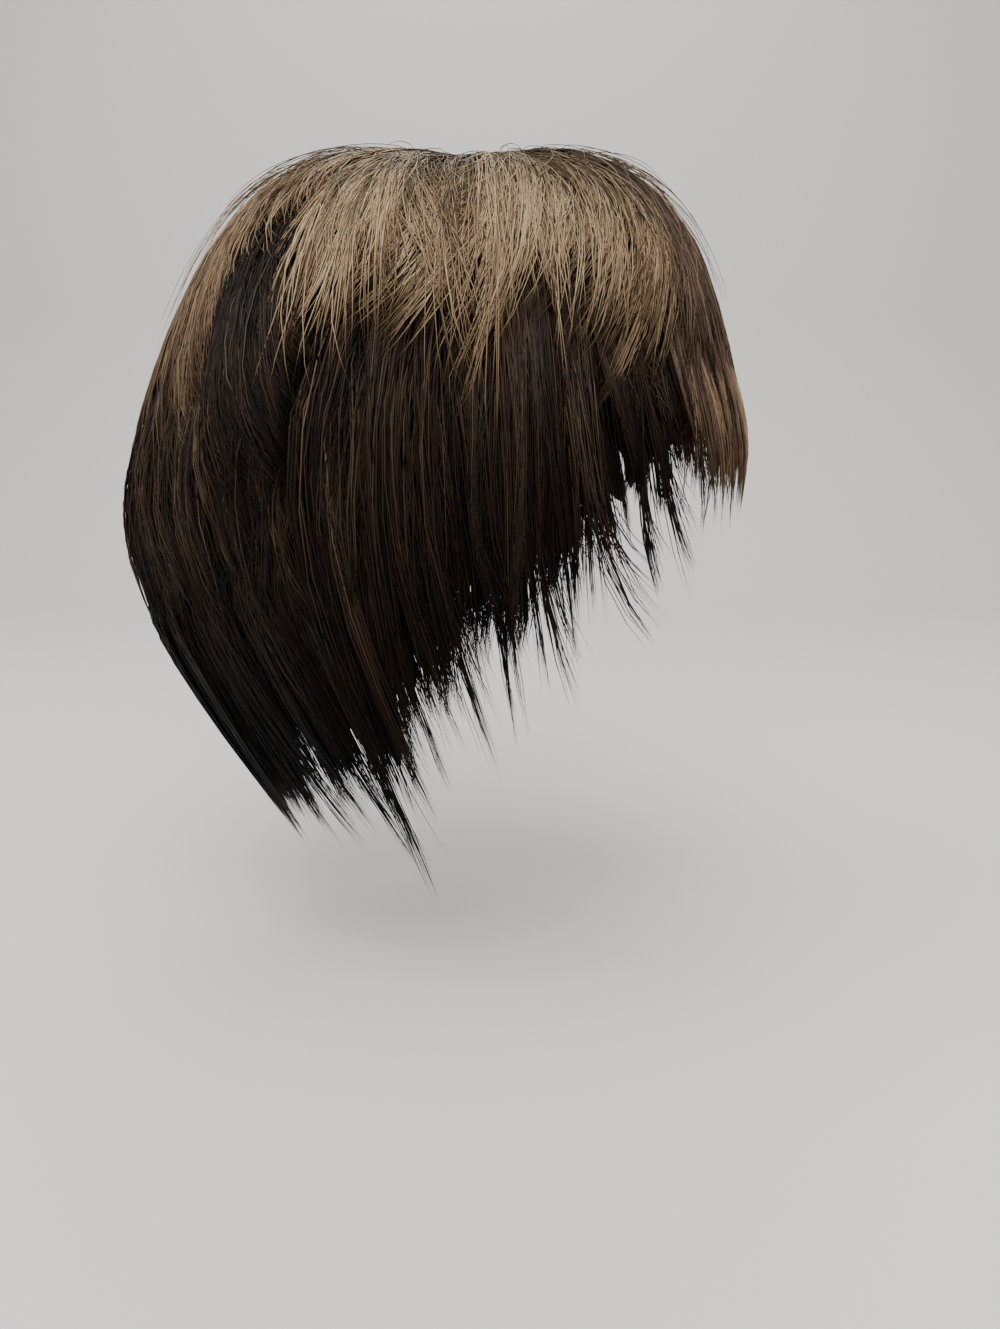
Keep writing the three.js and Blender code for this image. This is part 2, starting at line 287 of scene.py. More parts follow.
# Clumps of fibres within a lock: their number, how far across the lock their middles spread, how
# much of its even place a fibre keeps, how strongly and by what share of the length they form, how
# far they bend in millimetres, and how much sooner the outer ones end.
CLUMPS = 6
CLUMP_SPREAD = 0.9
CLUMP_HELD = 0.12
CLUMPED = 0.9
CLUMPED_BY = 0.6
CLUMP_BEND = 1.3
OUTER_SHORT = 0.16

# Loose fibres: their share, how far they keep out of the clumps and of the lock's tip, and how far
# they drift in millimetres beside the others.
LOOSE_SHARE = 0.14
LOOSE_FROM_CLUMP = 0.7
LOOSE_FROM_TIP = 0.5
LOOSE_DRIFT = 2.0
CLOSE_DRIFT = 0.3

# Every fibre: sides and roundness, how far the fibres lie out across a lock as a share of its width,
# curve of the drawing in, how closely its points stand at the root, scatter of the roots in
# stations, the least share of its lock's length, its own wave in millimetres, the share of that at
# the root and its turns, the scatter and range of its tone, and the share of light fibres, with how
# much lighter they are.
FIBRE_SIDES = 3
ROUND = 1.0
HALF_LOCK = 0.75
GATHER_POWER = 1.4
ROOT_CLOSENESS = 1.15
ROOT_SCATTER = 0.28
SHORTEST = 0.5
FIBRE_WAVE = 0.5
ROOT_WAVE = 0.4
FIBRE_TURNS = (0.6, 1.8)
FIBRE_TONE_SCATTER = 0.05
FIBRE_TONES = (0.01, 0.98)
LIGHT_SHARE = 0.1
LIGHT_TONE = 0.12

# Laps: from what share of its length a fibre settles on the layer below, and how far as a share of
# its lane, and where a covered layer comes out, in stations from the end of the lap.
SETTLE_START = 0.6
SETTLE_DEPTH = 0.18
COMES_OUT = (-1.3, 0.1)

# Flat locks that fill a layer: where they start to rise, depth as a share of their width, how much
# darker they are than their fibres as painted shade of the hair deep in the layer, and the range
# of their tones.
LOCK_POINTS = 10
LOCK_SIDES = 6
FLAT_START = 0.1
FLAT_DEPTH = 0.16
FLAT_PAINTED_SHADE = 0.14
FLAT_TONES = (0.02, 0.9)

# Single fibres that spring clear of the crown: turn and bow in degrees, roots and tips in stations,
# lift in millimetres along an arc of so many half turns, and width as a share of a fibre's.
FLYAWAYS = 110
FLYAWAY_POINTS = 12
FLYAWAY_TURN = (-24, 24)
FLYAWAY_BOW = (-8, 8)
FLYAWAY_ROOTS = (0.8, 1.8)
FLYAWAY_TIPS = (2.0, 4.2)
FLYAWAY_LIFT = (0.8, 5.0)
FLYAWAY_ARC = (0.5, 0.85)
FLYAWAY_RISE = 0.2
FLYAWAY_TONES = (0.45, 0.95)
FLYAWAY_WIDTH = 0.6

# Taper of a fibre: its width at the root, the share of its length to full width, and what is left
# of it at the tip, squared.
ROOT_WIDTH = 0.6
FULL_FROM = 0.3
TIP_LEFT = 0.02

# Degrees from the face between which the hold of the ends' tone fades and the lift of the roots'
# tone comes in, and the share of the length from which the ends hold their tone. The hold keeps
# back the ends' painted shade over the face, and the lift leaves out the roots' painted shade at
# the back of the head, which lightens it there as painted light.
HOLD_FADES = (25, 50)
LIFT_COMES = (120, 145)
HOLD_FROM = 0.6

# Maps and finishes: width of a fibre's and a flat lock's strip of tone, streaks over the range of
# tones, and how far a streak shifts the shading along a fibre. The net's pitch is in millimetres,
# and the width of the cap's map in metres.
TONE_STRIP = 0.004
LOCK_STRIP = 0.05
DYE_LOTS = 90.0
LOT_SHIFT = 0.25
NET_PITCH = 1.4
CAP_CHART = 0.4


def smoothstep(low, high, value):
    """Rises from 0 at low to 1 at high along 3t^2 - 2t^3."""
    t = np.clip((value - low) / (high - low), 0, 1)
    return t * t * (3 - 2 * t)


def mix(a, b, share):
    """The value a share of the way from a to b."""
    return a + (b - a) * share


def spline(rows, station):
    """Values and slopes of a table at any station: uniform Catmull-Rom pieces through its rows."""
    last = len(rows) - 1
    at = np.clip(station, 0, last - 1e-9)
    index = np.floor(at).astype(int)
    t = (at - index)[..., None]
    before, start, end, after = (rows[np.clip(index + step, 0, last)] for step in (-1, 0, 1, 2))
    leave = (end - before) / 2
    arrive = (after - start) / 2
    square = 3 * (end - start) - 2 * leave - arrive
    cube = 2 * (start - end) + leave + arrive
    value = ((cube * t + square) * t + leave) * t + start
    slope = (3 * cube * t + 2 * square) * t + leave
    return value, slope


def meridian(line, station, share, lift):
    """Reach and height on a line, moved out along its normal.

    The offset is the seat on the cap, then a share of the rest of the hair's depth, then a lift.
    """
    value, slope = spline(line, station)
    length = np.hypot(slope[..., 0], slope[..., 1])
    offset = SEAT + share * (value[..., 2] - SEAT) + lift
    reach = value[..., 0] - slope[..., 1] / length * offset
    height = value[..., 1] + slope[..., 0] / length * offset
    return np.maximum(reach, 0), height


def form(azimuth, station, share, lift=0.0):
    """Points on the hair's form, in millimetres.

    A superellipse joins the front or back line to the side line: each reach times the cosine or
    sine to the power 2 / HEAD_POWER, and the heights mixed by the squared cosine and sine.
    """
    ahead = np.cos(np.radians(azimuth))
    aside = np.sin(np.radians(azimuth))
    front = meridian(FRONT_LINE, station, share, lift)
    back = meridian(BACK_LINE, station, share, lift)
    side = meridian(SIDE_LINE, station, share, lift)
    end = [np.where(ahead >= 0, f, b) for f, b in zip(front, back)]
    x = end[0] * np.sign(ahead) * np.abs(ahead) ** (2 / HEAD_POWER)
    y = side[0] * np.sign(aside) * np.abs(aside) ** (2 / HEAD_POWER)
    z = end[1] * ahead**2 + side[1] * aside**2
    return np.stack(np.broadcast_arrays(x, y, z), axis=-1)


def lap_share(lap, station):
    """Share of the hair's depth that lies under a lap: it rises from 0 to low, and on to high."""
    if lap is None:
        return np.zeros_like(station)
    rise = smoothstep(lap.start, lap.seated, station)
    return rise * mix(lap.low, lap.high, smoothstep(lap.seated, lap.end, station))


def layer_lane(layer, station, lane):
    """Share of the hair's depth at a lane, from 0 at the layer's inside to 1 at its outside."""
    inside = lap_share(layer.lies_on, station)
    outside = np.ones_like(station)
    if layer.under:
        first, last = COMES_OUT
        spread = smoothstep(layer.under.end + first, layer.under.end + last, station)
        outside = mix(lap_share(layer.under, station), 1, spread)
    return mix(inside, np.maximum(outside, inside), lane)


def from_face(azimuth):
    """Degrees from the middle of the face, 0 to 180 on either side, and the side's sign."""
    signed = (np.asarray(azimuth) + 180) % 360 - 180
    return np.abs(signed), np.where(signed < 0, -1.0, 1.0)


class Ways(NamedTuple):
    """A layer's ways, read at azimuths."""
    tip: np.ndarray
    notch: np.ndarray
    sweep: np.ndarray
    tone: np.ndarray
    closeness: np.ndarray


def read_ways(layer, azimuth):
    """A layer's table read at azimuths, straight between its rows."""
    degrees, _ = from_face(azimuth)
    return Ways(*(np.interp(degrees, layer.ways[:, 0], column) for column in layer.ways[:, 1:].T))


def spread_out(layer, places):
    """Azimuths of places from 0 to 1 along a layer, closer together where the locks stand closer."""
    grid = np.linspace(*layer.span, SPAN_STEPS)
    filled = np.cumsum(read_ways(layer, grid).closeness)
    return np.interp(places, (filled - filled[0]) / (filled[-1] - filled[0]), grid)


def mean_reach(station):
    """Mean reach of the hair at a station, in millimetres, to turn steps aside into degrees.

    It is the mean of the lines and the hair's mean depth, and near the crown no less than a least
    reach, so that steps there don't turn into wide angles.
    """
    depth = 8
    least = 14
    rows = (FRONT_LINE[:, 0] + 2 * SIDE_LINE[:, 0] + BACK_LINE[:, 0]) / 4
    return np.maximum(np.interp(station, np.arange(len(rows)), rows) + depth, least)


def tip_places(layer, rng):
    """Azimuths of a layer's tips: stated, or at even places with some scatter."""
    if isinstance(layer.tips, int):
        places = (np.arange(layer.tips) + rng.uniform(*PLACE_RANGE, layer.tips)) / layer.tips
        return spread_out(layer, places)
    return layer.tips


def lock_guides(layer, rng):
    """One row for each lock of a layer: where it starts and ends, and how it curves.

    Each lock draws towards the nearest tip. One that starts in line with it comes close to it,
    and one that starts between two tips stops at the notch.
    """
    count = layer.locks
    tips = tip_places(layer, rng)
    azimuth = spread_out(layer, (rng.permutation(count) + rng.uniform(*PLACE_RANGE, count)) / count)
    group = np.abs(azimuth[:, None] - tips[None, :]).argmin(axis=1)
    target = tips[group]
    ways = read_ways(layer, target)
    tip = ways.tip + rng.normal(0, 0.5 * layer.uneven, len(tips))[group]
    near = read_ways(layer, azimuth + rng.normal(0, TONE_READING * layer.tousle, count))
    half_gap = 0.5 * np.gradient(tips)[group]
    aside = np.clip(np.abs(target - azimuth) / half_gap, 0, GROUP_REACH)
    short = mix(layer.body, NOTCH_SHARE, aside**NOTCH_POWER)
    first, last = layer.roots
    root = mix(first, last, rng.uniform(0, 1, count) ** ROOT_POWER)
    height = 1 - (root - first) / (last - first)
    return {
        "azimuth": azimuth,
        "pull": (target - azimuth) * rng.uniform(*PULL_RANGE, count) * layer.gather,
        "root": root,
        "tip": mix(tip, ways.notch, short) + rng.normal(0, layer.uneven, count),
        "sweep": layer.swing * ways.sweep + rng.normal(0, SWEEP_SCATTER * layer.tousle, count),
        "tone": (ways.tone + near.tone) / 2 + rng.normal(0, 0.5 * layer.mottle, count),
        "lane": np.clip(mix(*LOCK_LANES, height) + rng.normal(0, LANE_SCATTER, count), *LANE_RANGE),
        "width": layer.width * rng.uniform(*WIDTH_RANGE, count),
        "curl": rng.normal(0, CURL_SCATTER * layer.tousle**2, count),
        "gather": np.full(count, layer.gather),
        "bow": np.full(count, layer.bow),
        "loose": np.full(count, LOOSE_SHARE),
        "wave": rng.normal(0, WAVE_SCATTER * layer.tousle, count),
        "turns": rng.uniform(*WAVE_TURNS, count),
        "phase": rng.uniform(0, 1, count),
    }


def wisp_guides(layer, rng):
    """Rows like a lock's for the thin wisps at each tip: longer, drawn to a point, and curled."""
    tips = np.repeat(tip_places(layer, rng), layer.wisps[0])
    count = len(tips)
    azimuth = tips + rng.normal(0, WISP_STRAY, count)
    ways = read_ways(layer, azimuth)
    first, last = layer.roots
    _, side = from_face(azimuth)
    return {
        "azimuth": azimuth,
        "pull": np.zeros(count),
        "root": mix(first, last, rng.uniform(0, WISP_ROOTS, count)),
        "tip": ways.tip + rng.uniform(*WISP_REACH, count),
        "sweep": ways.sweep + rng.normal(0, WISP_SWEEP, count),
        "tone": ways.tone + rng.normal(*WISP_TONE, count),
        "lane": rng.uniform(*WISP_LANES, count),
        "width": rng.uniform(*WISP_WIDTHS, count) * layer.width,
        "curl": -side * rng.gamma(WISP_CURL_FORM, WISP_CURL, count) * rng.choice(CURL_WAYS, count),
        "gather": np.maximum(layer.gather, rng.uniform(*WISP_GATHER, count)),
        "bow": np.full(count, WISP_BOW),
        "loose": np.full(count, 0.5 * LOOSE_SHARE),
        "wave": rng.normal(0, WISP_WAVE, count),
        "turns": rng.uniform(*WAVE_TURNS, count),
        "phase": rng.uniform(0, 1, count),
    }


def guide_azimuth(row, t):
    """Azimuths along a lock: its own, swept back or forward and pulled to its group's tip."""
    _, side = from_face(row["azimuth"])
    return row["azimuth"] + side * row["sweep"] * (t ** row["bow"] - 0.5) + row["pull"] * t**2


def guide_wave(row, t):
    """Steps aside along a lock's one slow wave, in millimetres: a sine that grows from the root."""
    return row["wave"] * np.sin(math.tau * (row["turns"] * t + row["phase"])) * t


def fibre_paths(layer, guide, fibres, rng):
    """Paths of the fibres of locks in metres, and their tones.

    A fibre starts on the cap, rises to its lane, and runs down the form. Its place across the
    lock goes from even at the root to a clump, then in to the lock's tip. The lock has one slow
    wave and a curl at its end, each clump a bend, and each fibre a small wave. Where the layer lies
    on another, the fibres' ends settle towards it.
    """
    locks = len(guide["azimuth"])
    count = locks * fibres
    lock = np.repeat(np.arange(locks), fibres)
    row = {name: values[lock][:, None] for name, values in guide.items()}
    t = np.linspace(0, 1, layer.points)[None, :] ** ROOT_CLOSENESS

    def each(values):
        return values[:, None]

    loose = each(rng.uniform(0, 1, count)) < row["loose"]
    even = each(rng.uniform(-1, 1, count))
    clump = rng.integers(0, CLUMPS, count)
    middle = each(rng.uniform(-CLUMP_SPREAD, CLUMP_SPREAD, (locks, CLUMPS))[lock, clump])
    bend = each(rng.normal(0, CLUMP_BEND * layer.tousle, (locks, CLUMPS))[lock, clump])
    short = each(rng.exponential(0.6 * layer.feather, (locks, CLUMPS))[lock, clump])
    clumped = CLUMPED * smoothstep(0.0, CLUMPED_BY, t) * (1 - LOOSE_FROM_CLUMP * loose)
    drawn_in = row["gather"] * (1 - LOOSE_FROM_TIP * loose) * t**GATHER_POWER
    across = mix(even, middle + CLUMP_HELD * even, clumped) * (1 - drawn_in)
    first, last = layer.roots
    root = np.clip(row["root"] + each(rng.normal(0, ROOT_SCATTER, count)), first, last)
    short = short + each(rng.exponential(0.5 * layer.feather, count))
    length = 1 - short.clip(0, 1 - SHORTEST) - OUTER_SHORT * np.abs(middle) ** NOTCH_POWER
    station = root + (row["tip"] - root) * length * t
    own = each(rng.normal(0, FIBRE_WAVE * layer.tousle, count)) * np.sin(
        math.tau * (each(rng.uniform(*FIBRE_TURNS, count)) * t + each(rng.uniform(0, 1, count)))
    )
    drift = each(rng.normal(0, layer.tousle, count)) * (CLOSE_DRIFT + LOOSE_DRIFT * loose)
    side_step = (
        across * row["width"] * HALF_LOCK + guide_wave(row, t) + row["curl"] * t**3
        + own * (ROOT_WAVE + t) + (drift * t ** row["bow"] + bend * t**2)
    )
    azimuth = guide_azimuth(row, t) + np.degrees(side_step / mean_reach(station))
    crowned = row["lane"] + CROWNING * (CROWNED_HALF - across**2)
    lane = crowned + each(rng.normal(0, FIBRE_LANE_SCATTER, count))
    lane = np.clip(lane, LEAST_LANE, 1) * smoothstep(0, layer.rise, t)
    if layer.lies_on:
        lane = lane * (1 - SETTLE_DEPTH * smoothstep(SETTLE_START, 1, t))
    points = form(azimuth, station, layer_lane(layer, station, lane))
    clump_tone = rng.normal(0, layer.mottle, (locks, CLUMPS))[lock, clump]
    tone = row["tone"][:, 0] + clump_tone + rng.normal(0, FIBRE_TONE_SCATTER, count)
    tone = tone + LIGHT_TONE * (rng.uniform(0, 1, count) < LIGHT_SHARE)
    return points * MM, np.clip(tone, *FIBRE_TONES)


def flyaway_paths(layer, rng):
    """Paths of single fibres that spring clear of the crown in low arcs, in metres, and their tones."""
    def each(low, high):
        return rng.uniform(low, high, FLYAWAYS)[:, None]

    t = np.linspace(0, 1, FLYAWAY_POINTS)[None, :]
    bow = np.sin(math.pi * t)
    azimuth = each(*layer.span) + each(*FLYAWAY_TURN) * t + each(*FLYAWAY_BOW) * bow
    station = mix(each(*FLYAWAY_ROOTS), each(*FLYAWAY_TIPS), t)
    lift = each(*FLYAWAY_LIFT) * np.sin(math.pi * each(*FLYAWAY_ARC) * t)
    share = smoothstep(0, FLYAWAY_RISE, t)
    tone = rng.uniform(*FLYAWAY_TONES, FLYAWAYS)
    return form(azimuth, station, np.broadcast_to(share, station.shape), lift) * MM, tone


def lock_paths(layer, rng):
    """Paths of the flat locks that fill a layer behind its fibres, in metres, and their tones."""
    guide = lock_guides(layer, rng)
    guide["pull"] = layer.drawn * guide["pull"]
    row = {name: values[:, None] for name, values in guide.items()}
    t = np.linspace(0, 1, LOCK_POINTS)[None, :]
    station = row["root"] + (row["tip"] - row["root"]) * layer.fill * t
    azimuth = guide_azimuth(row, t) + np.degrees(guide_wave(row, t) / mean_reach(station))
    lane = np.clip(FLAT_LANE * row["lane"], LANE_RANGE[0], FLAT_LANE)
    lane = lane * smoothstep(FLAT_START, FLAT_START + 2 * layer.rise, t)
    points = form(azimuth, station, layer_lane(layer, station, lane))
    # The flat locks are darker than their fibres: painted shade of the hair deep in the layer.
    return points * MM, np.clip(guide["tone"] - FLAT_PAINTED_SHADE, *FLAT_TONES)


def tubes(paths, half_width, half_depth, sides):
    """Vertices and faces of closed tubes carried along paths.

    The ring at a point is half_width times the cosine of the turn across the path, and half_depth
    times its sine out from the head's middle. The last point of a path is the tube's tip.
    """
    along = np.gradient(paths, axis=1)
    along /= np.linalg.norm(along, axis=2, keepdims=True)
    out = paths - HEAD_MIDDLE * MM
    out -= (out * along).sum(axis=2, keepdims=True) * along
    out /= np.linalg.norm(out, axis=2, keepdims=True)
    across = np.cross(out, along)
    turn = math.tau * np.arange(sides) / sides
    ring = (
        across[:, :-1, None] * np.cos(turn)[:, None] * half_width[:-1, None, None]
        + out[:, :-1, None] * np.sin(turn)[:, None] * half_depth[:-1, None, None]
    )
    count, points = paths.shape[:2]
    rings = (paths[:, :-1, None] + ring).reshape(count, -1, 3)
    vertices = np.concatenate([rings, paths[:, -1:]], axis=1)
    stride = vertices.shape[1]
    start = (np.arange(count) * stride)[:, None, None]
    i = np.arange(points - 2)[None, :, None] * sides
    j = np.arange(sides)[None, None, :]
    k = (j + 1) % sides
    here = start + i
    following = here + sides
    quads = np.stack([here + j, here + k, following + k, following + j], axis=-1)
    last = start + (points - 2) * sides
    tips = np.stack(np.broadcast_arrays(last + j, last + k, start + stride - 1), axis=-1)
    ends = start[:, 0] + np.arange(sides)[::-1][None, :]
    return vertices.reshape(-1, 3), [quads.reshape(-1, 4), tips.reshape(-1, 3), ends]


def tube_maps(tone, strip, way, sides):
    """Map of the tubes' faces: the tone and a narrow strip beside it across, the way upwards."""
    count, points = way.shape
    low = tone[:, None, None]
    high = low + strip
    v0 = np.broadcast_to(way[:, :-2, None], (count, points - 2, sides))
    v1 = np.broadcast_to(way[:, 1:-1, None], (count, points - 2, sides))
    u0 = np.broadcast_to(low, v0.shape)
    u1 = np.broadcast_to(high, v0.shape)
    quads = np.stack([u0, v0, u1, v0, u1, v1, u0, v1], axis=-1).reshape(-1, 4, 2)
    u0, u1 = u0[:, 0], u1[:, 0]
    v0 = np.broadcast_to(way[:, -2:-1], u0.shape)
    v1 = np.broadcast_to(way[:, -1:], u0.shape)
    tips = np.stack([u0, v0, u1, v0, (u0 + u1) / 2, v1], axis=-1).reshape(-1, 3, 2)
    turn = math.tau * np.arange(sides)[::-1] / sides
    middle = strip / 2
    ends = np.stack(
        np.broadcast_arrays(
            tone[:, None] + middle + middle * np.cos(turn), middle + middle * np.sin(turn)[None, :]
        ),
        axis=-1,
    )
    return [quads, tips, ends]


def hair(paths_and_tones, width, flatness, sides, strip, hold=0.0, lift=0.0):
    """Tubes along hair paths with their map: full width from near the root, tapered to the tip.

    The map's way goes from 0 at the root to 1 at the tip. At the back of the head it starts at the
    lift, and over the face it slows down past the middle by the hold.
    """
    paths, tone = paths_and_tones
    t = np.linspace(0, 1, paths.shape[1])
    taper = np.sqrt(1 + TIP_LEFT - t**3)
    half = width / 2 * taper * mix(ROOT_WIDTH, 1, smoothstep(0, FULL_FROM, t))
    vertices, faces = tubes(paths, half, flatness * half, sides)
    degrees = np.degrees(np.arctan2(np.abs(paths[:, -1, 1]), paths[:, -1, 0]))
    held = hold * (1 - smoothstep(*HOLD_FADES, degrees))
    start = lift * smoothstep(*LIFT_COMES, degrees)
    way = mix(start[:, None], 1, t) - held[:, None] * np.maximum(t - HOLD_FROM, 0)
    return vertices, faces, tube_maps(tone, strip, way, sides)


def add_mesh(name, parts, material):
    """Joins parts of vertices, faces and face maps into one smooth mesh object at the origin."""
    offsets = np.cumsum([0] + [len(vertices) for vertices, _, _ in parts])
    vertices = np.concatenate([vertices for vertices, _, _ in parts])
    faces = [f + offset for (_, part, _), offset in zip(parts, offsets) for f in part]
    maps = [m.reshape(-1, 2) for _, _, part in parts for m in part]
    sizes = np.concatenate([np.full(len(f), f.shape[1]) for f in faces])
    corners = np.concatenate([f.ravel() for f in faces])
    mesh = bpy.data.meshes.new(name)
    mesh.vertices.add(len(vertices))
    mesh.vertices.foreach_set("co", vertices.astype(np.float32).ravel())
    mesh.loops.add(len(corners))
    mesh.loops.foreach_set("vertex_index", corners.astype(np.int32))
    mesh.polygons.add(len(sizes))
    mesh.polygons.foreach_set("loop_start", (np.cumsum(sizes) - sizes).astype(np.int32))
    mesh.polygons.foreach_set("use_smooth", np.ones(len(sizes), dtype=bool))
    chart = mesh.uv_layers.new(name=UV_NAME)
    chart.data.foreach_set("uv", np.concatenate(maps).astype(np.float32).ravel())
    mesh.update(calc_edges=True)
    if mesh.validate():
        raise RuntimeError(f"{name} has faulty faces")
    mesh.materials.append(material)
    piece = bpy.data.objects.new(name, mesh)
    bpy.context.collection.objects.link(piece)
    return piece


def dress(piece, node):
    """The piece rides on the wig and stands for its solid, which is hidden."""
    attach(piece, "root")
    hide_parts(node)


def linear(code):
    """A colour's sRGB hex code as linear red, green and blue."""
    value = np.array([int(code[i:i + 2], 16) for i in (1, 3, 5)]) / 255
    return tuple(np.where(value <= 0.04045, value / 12.92, ((value + 0.055) / 1.055) ** 2.4))


def add_node(tree, kind, links=None, **settings):
    """Adds a node, sets its properties and input values, and links other nodes' outputs to it."""
    node = tree.nodes.new(kind)
    for name, value in settings.items():
        if name in node.inputs:
            node.inputs[name].default_value = value
        else:
            setattr(node, name, value)
    for name, output in (links or {}).items():
        tree.links.new(output, node.inputs[name])
    return node


def set_ramp(node, stops):
    """Gives a colour ramp its stops: place, then linear colour."""
    ramp = node.color_ramp
    while len(ramp.elements) > 1:
        ramp.elements.remove(ramp.elements[-1])
    for index, (place, colour) in enumerate(stops):
        element = ramp.elements[0] if index == 0 else ramp.elements.new(place)
        element.position = place
        element.color = (*colour, 1)


def grey(value):
    """A linear grey."""
    return (value, value, value)


class Finish(NamedTuple):
    """How a fibre's tone runs along its length, in shares of the way from the root to the tip.

    From the root it goes from the root's shade to the full tone, and on to the darker end. Both
    are partly the fibres' own dark roots and ends, and partly painted shade.
    """
    name: str
    root_shade: float
    root_start: float
    root_end: float
    fade_start: float
    fade_end: float
    end_dye_and_shade: tuple


# Darkening along the fibres. The frosted crown's dark roots are partly its own dye and partly painted
# shade that keeps the whorl down, and its dark ends partly the dark layer showing through and partly
# painted shade of the lower hair. The streaked and dark fibres' darker roots are painted shade under
# the crown layer, and their darker ends painted shade of the lower hair, away from the light above.
FINISHES = {
    "hair_light": Finish("drawn fibre, frosted", 0.24, 0.4, 0.7, 0.7, 0.94, (0.28, 0.245, 0.22)),
    "hair_mixed": Finish("drawn fibre, streaked", 0.42, 0.32, 0.68, 0.72, 0.98, (0.6, 0.56, 0.53)),
    "hair_dark": Finish("drawn fibre, dark brown", 0.9, 0.0, 0.2, 0.25, 0.75, (0.27, 0.23, 0.2)),
}


def drawn_fibre(finish, colours):
    """Drawn modacrylic fibre, dyed in several tones.

    Smooth drawn filaments give a soft long gloss along each lock, and the mixed dye lots show as
    fine streaks. The map's u is the tone, and its v runs from the root to the tip. Along v the
    colour is darkened at the root and the end, partly as the fibres' own dark roots and ends and
    partly as painted shade.
    """
    material = bpy.data.materials.new(finish.name)
    material.use_nodes = True
    tree = material.node_tree
    tree.nodes.clear()
    chart = add_node(tree, "ShaderNodeUVMap", uv_map=UV_NAME)
    split = add_node(tree, "ShaderNodeSeparateXYZ", {"Vector": chart.outputs["UV"]})
    tones = add_node(tree, "ShaderNodeValToRGB", {"Fac": split.outputs["X"]})
    set_ramp(tones, (
        (0.0, colours.shade), (0.18, colours.dark), (0.45, colours.brown), (0.72, colours.bronze),
        (1.0, colours.gold),
    ))
    lots = add_node(tree, "ShaderNodeTexNoise", noise_dimensions="1D", Scale=DYE_LOTS, Detail=2.0)
    tree.links.new(split.outputs["X"], lots.inputs["W"])
    streak = add_node(
        tree, "ShaderNodeMapRange", {"Value": lots.outputs["Fac"]},
        **{"From Min": 0.3, "From Max": 0.7, "To Min": 0.76, "To Max": 1.24},
    )
    streaked = add_node(
        tree, "ShaderNodeVectorMath",
        {0: tones.outputs["Color"]}, operation="SCALE",
    )
    tree.links.new(streak.outputs["Result"], streaked.inputs["Scale"])
    way = add_node(tree, "ShaderNodeMath", {0: split.outputs["Y"]}, operation="MULTIPLY")
    way.inputs[1].default_value = 1 - LOT_SHIFT
    place = add_node(
        tree, "ShaderNodeMath", {0: lots.outputs["Fac"], 2: way.outputs["Value"]},
        operation="MULTIPLY_ADD",
    )
    place.inputs[1].default_value = LOT_SHIFT
    # The along ramp darkens the root and the end: partly the fibres' own dark roots and ends, partly
    # painted shade.
    stops = np.array((finish.root_start, finish.root_end, finish.fade_start, finish.fade_end))
    shifted = stops * (1 - LOT_SHIFT) + LOT_SHIFT / 2
    along = add_node(tree, "ShaderNodeValToRGB", {"Fac": place.outputs["Value"]})
    set_ramp(along, zip(shifted, (grey(finish.root_shade), grey(1.0), grey(1.0), finish.end_dye_and_shade)))
    shaded = add_node(
        tree, "ShaderNodeVectorMath",
        {0: streaked.outputs["Vector"], 1: along.outputs["Color"]}, operation="MULTIPLY",
    )
    shader = add_node(
        tree, "ShaderNodeBsdfPrincipled", {"Base Color": shaded.outputs["Vector"]},
        Roughness=0.5, IOR=1.5, **{"Specular IOR Level": 0.08},
    )
    add_node(tree, "ShaderNodeOutputMaterial", {"Surface": shader.outputs["BSDF"]})
    return material


def knitted_net(colours):
    """Knitted nylon net, matt: a dark open knit whose loops catch a little light in rows."""
    material = bpy.data.materials.new("knitted nylon net")
    material.use_nodes = True
    tree = material.node_tree
    tree.nodes.clear()
    place = add_node(tree, "ShaderNodeTexCoord")
    loops = add_node(
        tree, "ShaderNodeTexVoronoi", {"Vector": place.outputs["Object"]},
        feature="DISTANCE_TO_EDGE", Scale=1 / (NET_PITCH * MM), Randomness=0.35,
    )
    thread = add_node(
        tree, "ShaderNodeMapRange", {"Value": loops.outputs["Distance"]},
        **{"From Min": 0.04, "From Max": 0.2, "To Min": 1.0, "To Max": 0.0},
    )
    colour = add_node(tree, "ShaderNodeValToRGB", {"Fac": thread.outputs["Result"]})
    set_ramp(colour, ((0.0, tuple(0.35 * c for c in colours.net)), (1.0, tuple(colours.net))))
    bump = add_node(
        tree, "ShaderNodeBump", {"Height": thread.outputs["Result"]},
        Strength=0.6, Distance=0.3 * MM,
    )
    shader = add_node(
        tree, "ShaderNodeBsdfPrincipled",
        {"Base Color": colour.outputs["Color"], "Normal": bump.outputs["Normal"]},
        Roughness=0.85, **{"Specular IOR Level": 0.2},
    )
    add_node(tree, "ShaderNodeOutputMaterial", {"Surface": shader.outputs["BSDF"]})
    return material


class WigSizes(PropertyGroup):
    """Sizes of the fibres."""
    fibre: FloatProperty(
        name="Fibre width", description="Width of a drawn fibre, with its few neighbours",
        default=0.46 * MM, min=0.1 * MM, max=1.0 * MM, precision=5, unit="LENGTH",
    )
    lock: FloatProperty(
        name="Lock width", description="Width of the flat locks that fill a layer",
        default=8.0 * MM, min=2.0 * MM, max=20.0 * MM, precision=4, unit="LENGTH",
    )


